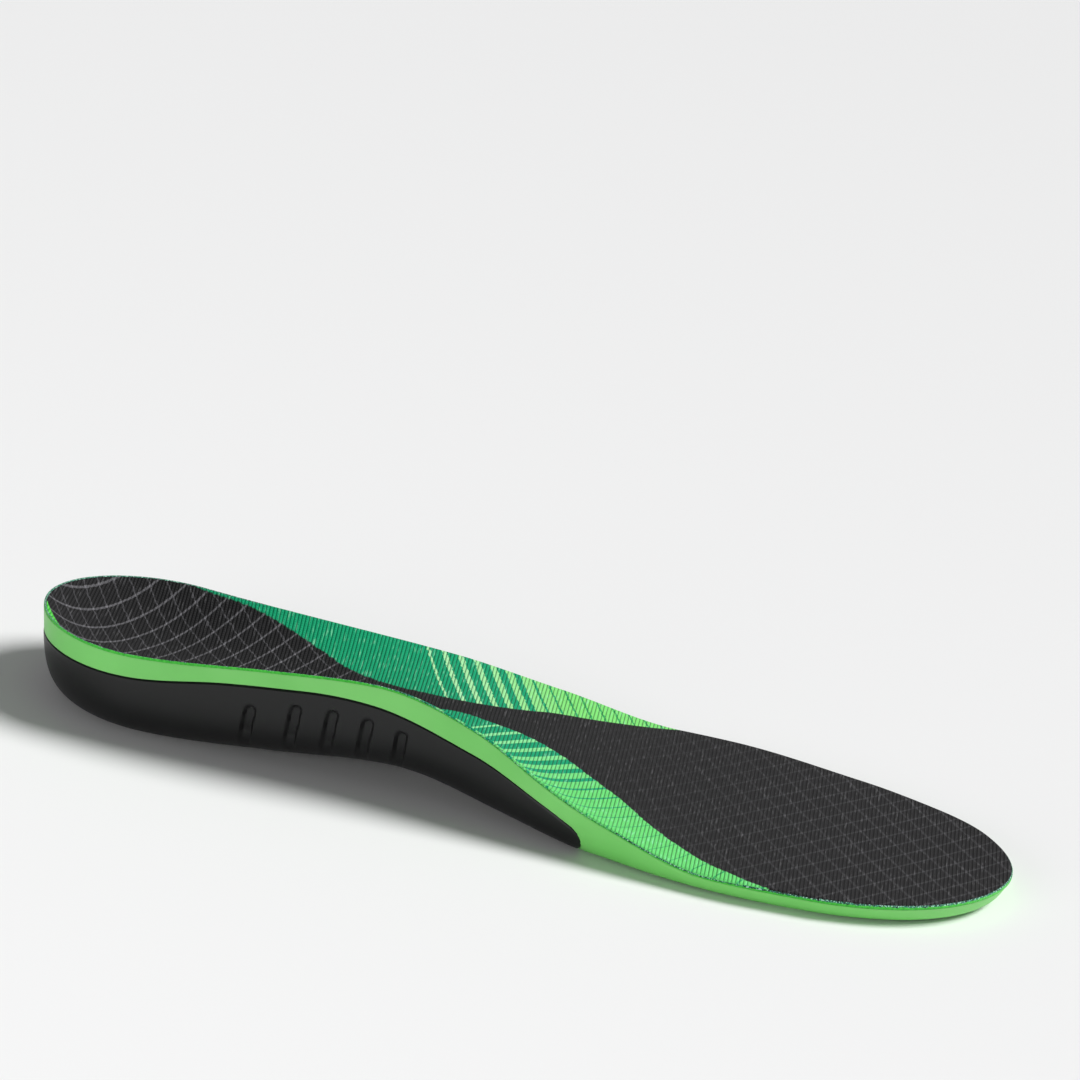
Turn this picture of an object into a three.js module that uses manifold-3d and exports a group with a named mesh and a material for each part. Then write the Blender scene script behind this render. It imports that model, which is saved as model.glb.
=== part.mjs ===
// Cushioned insole for a left foot. Millimetres, +Z up, heel towards -X, toe towards +X,
// medial (arch) side towards -Y. Five bonded layers: a knit top cover, a foam bed, a firm
// heel and arch shell under it, and two gel pads set into pockets of the underside.
import * as THREE from "three";
import { mergeVertices } from "three/addons/utils/BufferGeometryUtils.js";
import Module from "manifold-3d";

// Plan of the insole. It is measured from a spine, a straight line from the centre of the
// round heel to the centre of the toe end.
const LENGTH = 257;
const HEEL_RADIUS = 33.3;
const TOE_REACH = 45; // toe centre to toe tip
const TOE_SWING = 10.8; // how far the toe centre lies to the lateral side of the heel centre
const WAIST_MEDIAL = 32.4;
const WAIST_LATERAL = 39.1;
const BALL_MEDIAL = 43;
const BALL_LATERAL = 46.8;
const TOE_SHOULDER_MEDIAL = 40.2;
const TOE_SHOULDER_LATERAL = 38.4;
const HEEL_SWELL = 1.2; // how far the medial side swells just ahead of the round heel

// Heights of the finished top edge above the floor, and of the footbed along the spine.
const HEEL_RIM = 23;
const HEEL_RIM_MEDIAL = 24.4;
const HEEL_RIM_LATERAL = 20.2;
const ARCH_RIM = 31;
const WAIST_RIM_LATERAL = 15.5;
const FOREFOOT_HEIGHT = 5.7;
const TOE_TIP_HEIGHT = 7.1;
const HEEL_SEAT = 8.2;
const ARCH_SEAT = 11.5;

// How sharply the footbed turns up to its edge: the power of the way out from the spine.
const HEEL_DISHING = 2.7;
const ARCH_DISHING = 2.1;
const FOREFOOT_DISHING = 3;

// Underside: how far it lifts off the floor, and how far in from the edge it turns flat.
const ARCH_LIFT = 6.2;
const WAIST_LIFT_LATERAL = 1.2;
const SPINE_LIFT = 2.2;
const TOE_LIFT = 1.1;
const HEEL_TURN_IN = 13;
const FOREFOOT_TURN_IN = 4.5;
const WALL_FLARE = 1.6;

// Layers.
const COVER_THICKNESS = 1.2;
const SHELL_WALL = 1.8;
const HEEL_BAND = 7.2; // foam and cover left showing above the shell, at the back of the heel
const SIDE_BAND = 5.2; // the same beside the heel
const ARCH_BAND = 8.4; // the same along the front of the arch
const BOND_GAP = 0.3; // between layers that are glued together
const SHELL_FRONT = 148.5; // from the back of the heel to the shell's front edge, at the middle

// Gel pads.
const PAD_GROOVE = 0.7; // open groove around each pad
const HEEL_PAD_THICKNESS = 3.2;
const HEEL_PAD_LENGTH = 59;
const HEEL_PAD_WIDTH = 33.5;
const HEEL_PAD_CENTRE = 43.5; // from the back of the heel
const HEEL_PAD_TURN = 9; // degrees
const FOREFOOT_PAD_THICKNESS = 2;
const FOREFOOT_PAD_LENGTH = 54.6;
const FOREFOOT_PAD_CENTRE = 188.3; // from the back of the heel, along the spine
const LIP_WIDTH = 1; // foam lip around the heel pad, seen through the shell's window
const LIP_HEIGHT = 0.8; // its rim stays this far above the floor

// Fineness of the skins.
const HEEL_STEPS = 14;
const SIDE_STEPS = 18;
const TOE_STEPS = 14;
const TOP_RINGS = [0, 0.25, 0.5, 0.7, 0.86, 1];
const WALL_STEPS = 8;
const HEEL_PAD_STEPS = 40;
const FOREFOOT_PAD_STEPS = 54;

const CUT_MARGIN = 5; // how far cutting solids reach past the insole

const wasm = await Module();
wasm.setup();

const heelCentre = new THREE.Vector2(HEEL_RADIUS, 0);
const toeCentre = new THREE.Vector2(LENGTH - TOE_REACH, TOE_SWING);
const spine = toeCentre.clone().sub(heelCentre);
const spineLength = spine.length();
const along = spine.clone().normalize();
const across = new THREE.Vector2(-along.y, along.x); // towards the lateral side

// The edge is followed once round, from the back of the heel along the medial side to the
// toe and back along the lateral side. A place on it is a distance along this loop.
const HEEL_QUARTER = (Math.PI / 2) * HEEL_RADIUS;
const TOE_HALF = Math.PI * TOE_SHOULDER_MEDIAL;
const LOOP = 2 * HEEL_QUARTER + 2 * spineLength + TOE_HALF;
const medial = (share) => HEEL_QUARTER + share * spineLength;
const toe = (degrees) => medial(1) + (0.5 + degrees / 180) * TOE_HALF; // 0 is the tip
const lateral = (share) => medial(1) + TOE_HALF + (1 - share) * spineLength;

// A smooth curve of value against place through a few knots, which closes on itself if
// period is given.
function profile(knots, period = 0) {
  const count = knots.length;
  const knot = (i) => {
    if (!period) return knots[Math.min(Math.max(i, 0), count - 1)];
    const turns = Math.floor(i / count);
    const [place, value] = knots[i - turns * count];
    return [place + turns * period, value];
  };
  const slope = (i) => {
    const [p0, v0] = knot(i - 1);
    const [p1, v1] = knot(i + 1);
    const value = knot(i)[1];
    const turns = (value - v0) * (v1 - value) <= 0; // level at a peak, a hollow or a flat
    return turns ? 0 : (v1 - v0) / (p1 - p0);
  };
  return (place) => {
    let at = period ? ((place - knots[0][0] + period) % period) + knots[0][0] : place;
    let i = 0;
    while (i < count - (period ? 1 : 2) && knot(i + 1)[0] <= at) i += 1;
    const [p0, v0] = knot(i);
    const [p1, v1] = knot(i + 1);
    at = Math.min(Math.max(at, p0), p1);
    const step = p1 - p0;
    const t = (at - p0) / step;
    const rise = t * t * (3 - 2 * t);
    const bend0 = t * (1 - t) * (1 - t) * step * slope(i);
    const bend1 = t * t * (t - 1) * step * slope(i + 1);
    return v0 + (v1 - v0) * rise + bend0 + bend1;
  };
}

const edgeRadius = profile(
  [
    [0, HEEL_RADIUS],
    [medial(-0.15), HEEL_RADIUS],
    [medial(0.12), HEEL_RADIUS + HEEL_SWELL],
    [medial(0.42), WAIST_MEDIAL],
    [medial(0.66), WAIST_MEDIAL * 0.38 + BALL_MEDIAL * 0.62],
    [medial(0.88), BALL_MEDIAL],
    [toe(-72), TOE_SHOULDER_MEDIAL],
    [toe(-4), TOE_REACH],
    [toe(30), (TOE_REACH + TOE_SHOULDER_LATERAL) / 2],
    [toe(65), TOE_SHOULDER_LATERAL],
    [lateral(0.8), BALL_LATERAL],
    [lateral(0.42), WAIST_LATERAL],
    [lateral(0.1), HEEL_RADIUS],
    [lateral(-0.1), HEEL_RADIUS * 0.97],
  ],
  LOOP,
);
const rimHeight = profile(
  [
    [0, HEEL_RIM],
    [medial(0), HEEL_RIM_MEDIAL],
    [medial(0.2), HEEL_RIM_MEDIAL * 0.32 + ARCH_RIM * 0.68],
    [medial(0.35), ARCH_RIM],
    [medial(0.54), ARCH_RIM * 0.78],
    [medial(0.7), FOREFOOT_HEIGHT * 0.75 + ARCH_RIM * 0.25],
    [medial(0.86), FOREFOOT_HEIGHT],
    [medial(1), FOREFOOT_HEIGHT],
    [toe(0), TOE_TIP_HEIGHT],
    [lateral(1), FOREFOOT_HEIGHT],
    [lateral(0.72), FOREFOOT_HEIGHT],
    [lateral(0.54), FOREFOOT_HEIGHT * 0.46 + WAIST_RIM_LATERAL * 0.54],
    [lateral(0.38), WAIST_RIM_LATERAL],
    [lateral(0), HEEL_RIM_LATERAL],
  ],
  LOOP,
);
const edgeLift = profile(
  [
    [0, 0],
    [medial(0), 0],
    [medial(0.2), ARCH_LIFT * 0.5],
    [medial(0.38), ARCH_LIFT],
    [medial(0.54), ARCH_LIFT * 0.35],
    [medial(0.7), 0],
    [medial(1), 0],
    [toe(0), TOE_LIFT],
    [lateral(1), 0],
    [lateral(0.68), 0],
    [lateral(0.4), WAIST_LIFT_LATERAL],
    [lateral(0.1), 0],
  ],
  LOOP,
);
const turnIn = profile(
  [
    [0, HEEL_TURN_IN],
    [medial(0.5), HEEL_TURN_IN],
    [medial(0.82), FOREFOOT_TURN_IN],
    [toe(0), FOREFOOT_TURN_IN],
    [lateral(0.82), FOREFOOT_TURN_IN],
    [lateral(0.4), HEEL_TURN_IN * 0.8],
    [lateral(0), HEEL_TURN_IN],
  ],
  LOOP,
);
const bandHeight = profile(
  [
    [0, HEEL_BAND],
    [medial(0), HEEL_BAND * 0.94],
    [medial(0.14), SIDE_BAND],
    [medial(0.25), SIDE_BAND],
    [medial(0.52), ARCH_BAND],
    [medial(0.7), ARCH_BAND * 0.88],
    [lateral(0.6), HEEL_BAND],
  ],
  LOOP,
);
const seatHeight = profile([
  [0, HEEL_SEAT],
  [0.15, HEEL_SEAT],
  [0.42, ARCH_SEAT],
  [0.8, FOREFOOT_HEIGHT],
  [1, FOREFOOT_HEIGHT],
]);
const spineLift = profile([
  [0, 0],
  [0.14, 0],
  [0.4, SPINE_LIFT],
  [0.68, 0],
  [1, 0],
]);
const dishing = profile([
  [0, HEEL_DISHING],
  [0.45, ARCH_DISHING],
  [0.8, FOREFOOT_DISHING],
  [1, FOREFOOT_DISHING],
]);

// A ray runs level from the spine out to the edge: where it starts, which way it goes, and
// its place on the loop. Both sides share the same starts, so the two halves of a skin meet.
function makeRays() {
  const rays = [];
  const add = (share, turn, place) => {
    const start = heelCentre.clone().addScaledVector(along, share * spineLength);
    const way = new THREE.Vector2(Math.cos(turn), Math.sin(turn));
    rays.push({ start, way, share, place, radius: edgeRadius(place) });
  };
  const lean = along.angle();
  for (let i = 0; i < HEEL_STEPS; i += 1) {
    const turn = i / HEEL_STEPS; // lateral side, round the back, to the medial side
    add(0, lean + Math.PI * (0.5 + turn), (2 * turn - 1) * HEEL_QUARTER);
  }
  for (let i = 0; i < SIDE_STEPS; i += 1) {
    const share = i / SIDE_STEPS;
    add(share, lean - Math.PI / 2, medial(share));
  }
  for (let i = 0; i < TOE_STEPS; i += 1) {
    const turn = i / TOE_STEPS;
    add(1, lean + Math.PI * (turn - 0.5), medial(1) + turn * TOE_HALF);
  }
  for (let i = 0; i < SIDE_STEPS; i += 1) {
    const share = 1 - i / SIDE_STEPS;
    add(share, lean + Math.PI / 2, lateral(share));
  }
  return rays;
}
const rays = makeRays();

// Height of the finished top surface at a share of the way from the spine to the edge.
function topHeight(ray, out) {
  const seat = seatHeight(ray.share);
  return seat + (rimHeight(ray.place) - seat) * Math.pow(out, dishing(ray.share));
}

// The outside of the underside and wall: [distance out, height] from the spine, 0, to the
// rim, 1. The first half is the sole, the second half turns up into the wall.
function outside(ray, t) {
  const flat = ray.radius - turnIn(ray.place);
  const lift = edgeLift(ray.place);
  const low = spineLift(ray.share);
  if (t <= 0.5) {
    const out = t / 0.5;
    return [flat * out, low + (lift - low) * out * out];
  }
  const rim = rimHeight(ray.place) - COVER_THICKNESS - BOND_GAP;
  const turned = ray.radius - WALL_FLARE;
  const bend = new THREE.CubicBezierCurve(
    new THREE.Vector2(flat, lift),
    new THREE.Vector2(turned, lift),
    new THREE.Vector2(turned, lift + 0.45 * (rim - lift)),
    new THREE.Vector2(ray.radius, rim),
  );
  return bend.getPoint((t - 0.5) / 0.5).toArray();
}

// A closed skin from one section for each ray. A section is a list of [distance out, height]
// that starts on the spine above and ends on the spine below.
function skin(section) {
  const rows = rays.map(section);
  const depth = rows[0].length;
  const positions = [];
  rows.forEach((row, i) => {
    row.forEach(([out, height]) => {
      const point = rays[i].start.clone().addScaledVector(rays[i].way, out);
      positions.push(point.x, point.y, height);
    });
  });
  const index = [];
  for (let i = 0; i < rows.length; i += 1) {
    const next = (i + 1) % rows.length;
    for (let k = 0; k < depth - 1; k += 1) {
      const [a, b] = [i * depth + k, i * depth + k + 1];
      const [c, d] = [next * depth + k + 1, next * depth + k];
      const inwards = rows[i][k + 1][0] < rows[i][k][0];
      if (inwards) index.push(a, b, d, b, c, d); // so faces of touching layers match
      else index.push(a, b, c, a, c, d);
    }
  }
  const geometry = new THREE.BufferGeometry();
  geometry.setAttribute("position", new THREE.Float32BufferAttribute(positions, 3));
  geometry.setIndex(index);
  return solid(geometry);
}

// A manifold-3d solid of a closed geometry. Triangles that merging has flattened go.
function solid(geometry) {
  geometry.deleteAttribute("normal");
  geometry.deleteAttribute("uv");
  const merged = mergeVertices(geometry, 1e-4);
  const corners = merged.index.array;
  const triVerts = [];
  for (let i = 0; i < corners.length; i += 3) {
    const [a, b, c] = corners.slice(i, i + 3);
    if (a !== b && b !== c && c !== a) triVerts.push(a, b, c);
  }
  return new wasm.Manifold(
    new wasm.Mesh({
      numProp: 3,
      vertProperties: merged.attributes.position.array,
      triVerts: new Uint32Array(triVerts),
    }),
  );
}

// A prism with a plan outline, between two heights.
function prism(points, low, high) {
  const geometry = new THREE.ExtrudeGeometry(new THREE.Shape(points), {
    depth: high - low,
    bevelEnabled: false,
  });
  geometry.translate(0, 0, low);
  return solid(geometry);
}

// Shares from 0 to 1 in a number of even steps.
const evenShares = (count) => Array.from({ length: count + 1 }, (_, i) => i / count);

function topCover() {
  return skin((ray) => {
    const top = TOP_RINGS.map((out) => [out * ray.radius, topHeight(ray, out)]);
    const under = top.map(([out, height]) => [out, height - COVER_THICKNESS]).reverse();
    return [...top, ...under];
  });
}

// The whole block below the cover, as if foam and shell were one.
function blank() {
  const down = COVER_THICKNESS + BOND_GAP;
  return skin((ray) => {
    const top = TOP_RINGS.map((out) => [out * ray.radius, topHeight(ray, out) - down]);
    const wall = evenShares(2 * WALL_STEPS).map((t) => outside(ray, t)).reverse();
    return [...top, ...wall.slice(1)];
  });
}

// Where along outside() the shell's top edge comes, raised by rise.
function shellTop(ray, rise) {
  const shown = bandHeight(ray.place);
  const height = Math.max(rimHeight(ray.place) - shown + rise, edgeLift(ray.place) + BOND_GAP);
  let [low, high] = [0.5, 1];
  for (let i = 0; i < 30; i += 1) {
    const middle = (low + high) / 2;
    if (outside(ray, middle)[1] < height) low = middle;
    else high = middle;
  }
  return low;
}

// The points of outside() from the spine to the shell's top edge, moved inwards by depth.
function shellLine(ray, depth, rise) {
  const end = shellTop(ray, rise);
  const sole = evenShares(WALL_STEPS / 2).map((t) => outside(ray, t / 2));
  const wall = evenShares(WALL_STEPS).map((t) => outside(ray, 0.5 + (end - 0.5) * t));
  return [...sole, ...wall.slice(1)].map(([out, height], i, line) => {
    const [out0, height0] = line[Math.max(i - 1, 0)];
    const [out1, height1] = line[Math.min(i + 1, line.length - 1)];
    const normal = new THREE.Vector2(height0 - height1, out1 - out0).normalize();
    if (i === 0) return [0, height + depth];
    return [out + normal.x * depth, height + normal.y * depth];
  });
}

// The space that the shell and all that is outside it take out of the foam.
function shellSpace() {
  const depth = SHELL_WALL + BOND_GAP;
  const around = skin((ray) => {
    const line = shellLine(ray, depth, BOND_GAP);
    const outer = ray.radius + CUT_MARGIN;
    const top = line[line.length - 1][1];
    return [...line, [outer, top], [outer, -CUT_MARGIN], [0, -CUT_MARGIN]];
  });
  return around.intersect(prism(behindFront(BOND_GAP), -2 * CUT_MARGIN, 2 * ARCH_RIM));
}

// Plan outline of everything behind the shell's front edge, moved forwards by ahead. The
// edge runs back along the lateral side and reaches furthest forward under the arch.
function behindFront(ahead) {
  const front = SHELL_FRONT + ahead;
  const edge = new THREE.SplineCurve([
    new THREE.Vector2(front + 9, -2 * BALL_MEDIAL),
    new THREE.Vector2(front + 7.5, -0.72 * BALL_MEDIAL),
    new THREE.Vector2(front + 3.9, -0.5 * BALL_MEDIAL),
    new THREE.Vector2(front - 0.8, -0.16 * BALL_MEDIAL),
    new THREE.Vector2(front + 0.4, 0.21 * BALL_LATERAL),
    new THREE.Vector2(front - 2, 0.53 * BALL_LATERAL),
    new THREE.Vector2(front - 10, 0.8 * BALL_LATERAL),
    new THREE.Vector2(front - 22, BALL_LATERAL),
    new THREE.Vector2(front - 36, 1.3 * BALL_LATERAL),
  ]);
  return [
    new THREE.Vector2(-HEEL_RADIUS, 1.3 * BALL_LATERAL),
    new THREE.Vector2(-HEEL_RADIUS, -2 * BALL_MEDIAL),
    ...edge.getPoints(36),
  ];
}

// Plan outline of the heel pad, grown outwards.
function heelPadOutline(grow) {
  const ellipse = new THREE.EllipseCurve(
    HEEL_PAD_CENTRE,
    0,
    HEEL_PAD_LENGTH / 2 + grow,
    HEEL_PAD_WIDTH / 2 + grow,
    0,
    2 * Math.PI,
    false,
    THREE.MathUtils.degToRad(HEEL_PAD_TURN),
  );
  return ellipse.getPoints(HEEL_PAD_STEPS).slice(0, -1);
}

// Plan outline of the forefoot pad, grown outwards: a waisted bean across the ball of the
// foot, from the head of the little toe to the head of the big toe. Its corners are shares of
// half the pad's length, and of the width of the ball of the foot to that side.
function forefootPadOutline(grow) {
  const corners = [
    [0.672, 0.611],
    [0.551, 0.757],
    [0.239, 0.827],
    [-0.353, 0.853],
    [-0.796, 0.821],
    [-1.001, 0.756],
    [-0.908, 0.624],
    [-0.737, 0.436],
    [-0.697, 0.146],
    [-0.698, -0.191],
    [-0.553, -0.565],
    [-0.111, -0.773],
    [0.398, -0.820],
    [0.826, -0.762],
    [1.000, -0.594],
    [0.935, -0.347],
    [0.763, 0.041],
    [0.699, 0.375],
  ];
  const places = corners.map(([ahead, side]) => {
    const forward = FOREFOOT_PAD_CENTRE - HEEL_RADIUS + (ahead * FOREFOOT_PAD_LENGTH) / 2;
    const sideways = side * (side > 0 ? BALL_LATERAL : BALL_MEDIAL);
    const place = heelCentre.clone().addScaledVector(along, forward);
    place.addScaledVector(across, sideways);
    return new THREE.Vector3(place.x, place.y, 0);
  });
  const path = new THREE.CatmullRomCurve3(places, true, "centripetal");
  return evenShares(FOREFOOT_PAD_STEPS).slice(1).map((t) => {
    const point = path.getPoint(t);
    const way = path.getTangent(t);
    return new THREE.Vector2(point.x + grow * way.y, point.y - grow * way.x);
  });
}

// The shell, with a window for the heel pad and the foam lip around it.
function archShell() {
  const whole = skin((ray) => {
    const inner = shellLine(ray, SHELL_WALL, 0);
    return [...inner, ...shellLine(ray, 0, 0).reverse()];
  });
  const window = PAD_GROOVE + LIP_WIDTH + BOND_GAP;
  return whole
    .intersect(prism(behindFront(0), -2 * CUT_MARGIN, 2 * ARCH_RIM))
    .subtract(prism(heelPadOutline(window), -CUT_MARGIN, HEEL_SEAT));
}

function foamBed() {
  const lipRoot = SHELL_WALL + 2 * BOND_GAP;
  const lip = prism(heelPadOutline(PAD_GROOVE + LIP_WIDTH), LIP_HEIGHT, lipRoot);
  const heelPocket = HEEL_PAD_THICKNESS + BOND_GAP;
  const forefootPocket = FOREFOOT_PAD_THICKNESS + BOND_GAP;
  return blank()
    .subtract(shellSpace())
    .add(lip)
    .subtract(prism(heelPadOutline(PAD_GROOVE), -CUT_MARGIN, heelPocket))
    .subtract(prism(forefootPadOutline(PAD_GROOVE), -CUT_MARGIN, forefootPocket));
}

// A mesh of a solid, shown with its own material.
function piece(name, shape, color, roughness) {
  const { vertProperties, triVerts } = shape.getMesh();
  const geometry = new THREE.BufferGeometry();
  geometry.setAttribute("position", new THREE.BufferAttribute(vertProperties, 3));
  geometry.setIndex(new THREE.BufferAttribute(triVerts, 1));
  geometry.computeVertexNormals();
  const material = new THREE.MeshStandardMaterial({ color, roughness, metalness: 0 });
  const mesh = new THREE.Mesh(geometry, material);
  mesh.name = name;
  return mesh;
}

const insole = new THREE.Group();
insole.add(
  piece("top_cover", topCover(), 0x2b2a2c, 0.9),
  piece("foam_bed", foamBed(), 0x57cf58, 0.55),
  piece("arch_shell", archShell(), 0x141416, 0.4),
  piece("forefoot_gel_pad", prism(forefootPadOutline(0), 0, FOREFOOT_PAD_THICKNESS), 0x8fd13a, 0.3),
  piece("heel_gel_pad", prism(heelPadOutline(0), 0, HEEL_PAD_THICKNESS), 0x8fd13a, 0.3),
);

// The origin is at the middle of the footprint, on the floor.
const box = new THREE.Box3().setFromObject(insole);
const middle = box.getCenter(new THREE.Vector3());
insole.position.set(-middle.x, -middle.y, -box.min.z);

export default insole;
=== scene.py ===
import math

import bmesh
import bpy
import numpy as np
from mathutils import Matrix, Vector


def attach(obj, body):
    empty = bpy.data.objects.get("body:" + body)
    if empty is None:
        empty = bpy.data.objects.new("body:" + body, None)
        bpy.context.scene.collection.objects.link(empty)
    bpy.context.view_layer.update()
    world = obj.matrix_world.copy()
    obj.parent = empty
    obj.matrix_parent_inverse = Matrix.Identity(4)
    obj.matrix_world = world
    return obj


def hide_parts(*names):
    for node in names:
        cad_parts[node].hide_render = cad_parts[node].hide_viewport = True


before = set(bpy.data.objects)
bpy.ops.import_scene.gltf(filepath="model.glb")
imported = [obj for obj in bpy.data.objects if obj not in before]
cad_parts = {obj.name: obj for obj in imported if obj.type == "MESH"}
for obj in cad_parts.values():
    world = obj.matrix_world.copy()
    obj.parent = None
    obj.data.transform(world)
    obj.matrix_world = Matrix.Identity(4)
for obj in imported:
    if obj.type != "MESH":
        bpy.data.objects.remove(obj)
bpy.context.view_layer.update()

# ---------------------------------------------------------------------------------------
# Foam bed. One moulding of green polyurethane foam that carries the whole foot: a deep heel
# cup, a raised arch and a thin flat forepart. It has a smooth moulded skin, a recess for the
# shell, a pocket for each gel pad, and a fine trimming line with a size figure at the toe.

heel_centre = np.array((-0.095146, -0.010743))
toe_centre = np.array((0.083554, 0.000057))
heel_radius = 0.0333
spine_length = float(np.linalg.norm(toe_centre - heel_centre))
along = (toe_centre - heel_centre) / spine_length
across = np.array((-along[1], along[0]))  # towards the lateral side
lean = math.atan2(along[1], along[0])

# A place on the edge is a distance round it, from the back of the heel by the medial side.
heel_quarter = math.pi / 2 * heel_radius
toe_half = math.pi * 0.0402
once_round = 2 * heel_quarter + 2 * spine_length + toe_half


def medial(share):
    return heel_quarter + share * spine_length


def toe(degrees):
    return medial(1) + (0.5 + degrees / 180) * toe_half


def lateral(share):
    return medial(1) + toe_half + (1 - share) * spine_length


def flowing(knots, period=None):
    """A smooth curve of value against place through the knots, level at each peak, hollow and flat."""
    at, value = (np.array(column, float) for column in zip(*knots))
    if period:
        at = np.concatenate([at - period, at, at + period])
        value = np.tile(value, 3)
    slope = np.zeros(len(at))
    for i in range(1, len(at) - 1):
        if (value[i] - value[i - 1]) * (value[i + 1] - value[i]) > 0:
            slope[i] = (value[i + 1] - value[i - 1]) / (at[i + 1] - at[i - 1])

    def curve(place):
        place = np.asarray(place, float)
        if period:
            place = np.mod(place - knots[0][0], period) + knots[0][0]
        place = np.clip(place, at[0], at[-1])
        i = np.clip(np.searchsorted(at, place, "right") - 1, 0, len(at) - 2)
        step = at[i + 1] - at[i]
        t = (place - at[i]) / step
        rise = t * t * (3 - 2 * t)
        bends = t * (1 - t) ** 2 * step * slope[i] + t * t * (t - 1) * step * slope[i + 1]
        return value[i] + (value[i + 1] - value[i]) * rise + bends

    return curve


edge_radius = flowing([
    (0, heel_radius), (medial(-0.15), heel_radius), (medial(0.12), 0.0345),
    (medial(0.42), 0.0324), (medial(0.66), 0.03897), (medial(0.88), 0.043),
    (toe(-72), 0.0402), (toe(-4), 0.045), (toe(30), 0.0417), (toe(65), 0.0384),
    (lateral(0.8), 0.0468), (lateral(0.42), 0.0391), (lateral(0.1), 0.0333),
    (lateral(-0.1), 0.0323),
], once_round)
rim_height = flowing([
    (0, 0.023), (medial(0), 0.0244), (medial(0.2), 0.0289), (medial(0.35), 0.031),
    (medial(0.5), 0.0254), (medial(0.61), 0.0171), (medial(0.7), 0.0116), (medial(0.86), 0.0057),
    (medial(1), 0.0057), (toe(0), 0.0071), (lateral(1), 0.0057), (lateral(0.72), 0.0057),
    (lateral(0.54), 0.011), (lateral(0.38), 0.0155), (lateral(0), 0.0202),
], once_round)
edge_lift = flowing([
    (0, 0), (medial(0), 0), (medial(0.2), 0.0031), (medial(0.38), 0.0062),
    (medial(0.54), 0.0022), (medial(0.7), 0), (medial(1), 0), (toe(0), 0.0011),
    (lateral(1), 0), (lateral(0.68), 0), (lateral(0.4), 0.0012), (lateral(0.1), 0),
], once_round)
turn_in = flowing([
    (0, 0.013), (medial(0.5), 0.013), (medial(0.82), 0.0045), (toe(0), 0.0045),
    (lateral(0.82), 0.0045), (lateral(0.4), 0.0104), (lateral(0), 0.013),
], once_round)
band_height = flowing([
    (0, 0.0072), (medial(0), 0.0068), (medial(0.14), 0.0052), (medial(0.25), 0.0052),
    (medial(0.45), 0.0075), (medial(0.61), 0.0060), (medial(0.72), 0.0072), (lateral(0.6), 0.0072),
], once_round)
seat_height = flowing([(0, 0.0082), (0.15, 0.0082), (0.42, 0.0115), (0.8, 0.0057), (1, 0.0057)])
spine_lift = flowing([(0, 0), (0.14, 0), (0.4, 0.0022), (0.68, 0), (1, 0)])
dishing = flowing([(0, 2.7), (0.45, 2.1), (0.8, 3), (1, 3)])

# The shell's front edge: its share of the spine against the distance to the lateral side.
front_share = flowing([
    (-0.0933, 0.664), (-0.0384, 0.6736), (-0.0287, 0.657), (-0.0138, 0.6357),
    (0.0028, 0.648), (0.0179, 0.6396), (0.031, 0.5993), (0.0411, 0.5357), (0.0559, 0.462),
])
front_middle = float(front_share(0.0))
cover_thickness = 0.0012
shell_wall = 0.0018
touching = 0.00003  # what glued layers keep between them


def top_height(place, share, out):
    """The finished footbed's height, out being a share of the way from the spine to the edge."""
    seat = seat_height(share)
    return seat + (rim_height(place) - seat) * out ** dishing(share)


def outside(place, share, t):
    """The underside and wall: distance out and height, from the spine, t = 0, to the rim, t = 1."""
    radius = edge_radius(place)
    flat = radius - turn_in(place)
    lift = edge_lift(place)
    low = spine_lift(share)
    sole = np.clip(t / 0.5, 0, 1)
    wall = np.clip((t - 0.5) / 0.5, 0, 1)
    rim = rim_height(place) - cover_thickness - touching
    turned = radius - 0.0016
    a, b, c, d = (1 - wall) ** 3, 3 * wall * (1 - wall) ** 2, 3 * wall**2 * (1 - wall), wall**3
    out = np.where(t <= 0.5, flat * sole, a * flat + (b + c) * turned + d * radius)
    bent = (a + b) * lift + c * (lift + 0.45 * (rim - lift)) + d * rim
    return out, np.where(t <= 0.5, low + (lift - low) * sole**2, bent)


def inwards(place, share, t):
    """The direction into the material, as (out, up)."""
    out0, up0 = outside(place, share, np.clip(t - 0.004, 0, 1))
    out1, up1 = outside(place, share, np.clip(t + 0.004, 0, 1))
    length = np.hypot(out1 - out0, up1 - up0)
    return (up0 - up1) / length, (out1 - out0) / length


def shell_top(place, share, behind):
    """Where along outside() the shell's top edge comes; it rounds down to the front corner."""
    corner = 0.0035
    near = np.clip(1 - behind / corner, 0, 1)
    drop = corner * (1 - np.sqrt(1 - near**2))
    height = np.maximum(rim_height(place) - band_height(place) - drop, edge_lift(place) + 0.0006)
    low, high = np.full(np.shape(place), 0.5), np.ones(np.shape(place))
    for _ in range(24):
        middle = (low + high) / 2
        under = outside(place, share, middle)[1] < height
        low, high = np.where(under, middle, low), np.where(under, high, middle)
    return low


HEEL, MEDIAL, TOE, LATERAL = range(4)


def place_of(zone, way):
    """The place of a column on the edge; way is the turn round the heel or toe, or the spine's share."""
    heel = (2 * way - 1) * heel_quarter
    return np.select(
        [zone == HEEL, zone == MEDIAL, zone == TOE],
        [heel, heel_quarter + way * spine_length, medial(1) + way * toe_half],
        lateral(way),
    )


def share_of(zone, way):
    return np.select([zone == HEEL, zone == TOE], [0 * way, 0 * way + 1], way)


def plan_of(zone, way, out):
    """Plan x and y of points that lie out from the spine on a column."""
    turn = lean + math.pi * np.where(zone == HEEL, 0.5 + way, way - 0.5)
    side = np.where(zone == LATERAL, 1.0, -1.0)
    round_end = (zone == HEEL) | (zone == TOE)
    share = share_of(zone, way)
    x = heel_centre[0] + along[0] * share * spine_length
    y = heel_centre[1] + along[1] * share * spine_length
    x = x + out * np.where(round_end, np.cos(turn), side * across[0])
    y = y + out * np.where(round_end, np.sin(turn), side * across[1])
    return x, y


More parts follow.
